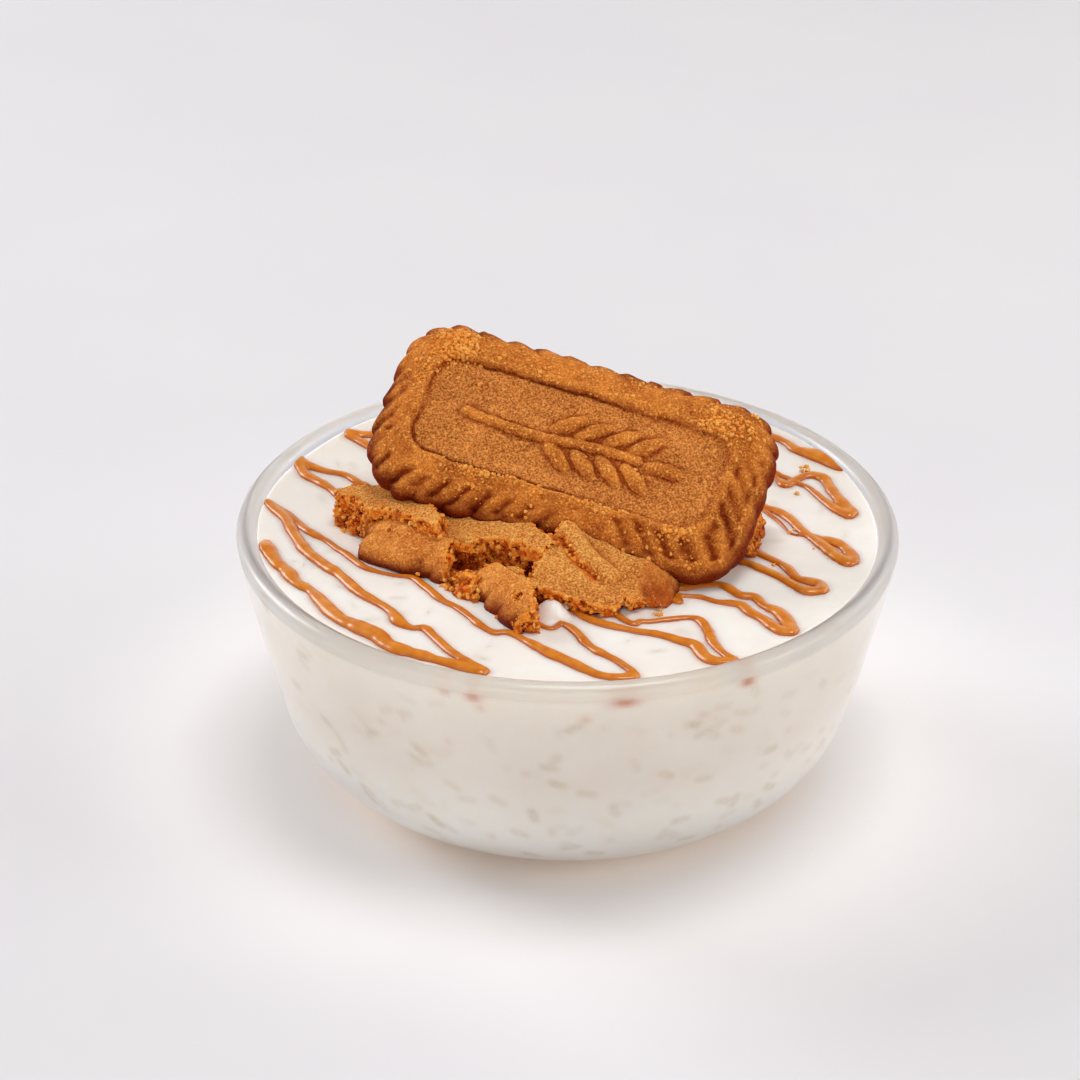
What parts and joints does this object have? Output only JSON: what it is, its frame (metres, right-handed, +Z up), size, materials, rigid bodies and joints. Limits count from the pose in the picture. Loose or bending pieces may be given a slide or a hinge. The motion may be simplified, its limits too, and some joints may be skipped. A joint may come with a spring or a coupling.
{
  "type": "rice pudding",
  "caption": "Rice pudding served in a round clear glass bowl, with a caramel drizzle, a whole caramelised biscuit and broken biscuit pieces on top.",
  "frame": {"origin": "middle of the bowl's flat base, on the surface that it stands on", "axes": "+Z up through the bowl's axis, -Y towards the front, where the whole biscuit's face looks, and +X to the right"},
  "size_m": [0.11, 0.11, 0.071],
  "materials": {
    "glass": "clear, smooth and thick-walled, with a rounded rim",
    "pudding": "creamy white with soft grains of rice, moist, with glossy caramel lines on top",
    "biscuit": "baked brown, dry and finely sandy",
    "broken_biscuit": "golden brown, sandy on top and crumbly where broken",
    "caramel": "glossy poured caramel"
  },
  "bodies": {
    "root": {"bowl": "glass", "pudding": "pudding", "biscuit": "biscuit", "piece_square": "broken_biscuit", "piece_middle": "broken_biscuit", "piece_front": "broken_biscuit", "piece_left": "broken_biscuit", "piece_small": "broken_biscuit", "piece_right": "broken_biscuit", "piece_under": "broken_biscuit", "piece_rear": "broken_biscuit"}
  },
  "joints": []
}
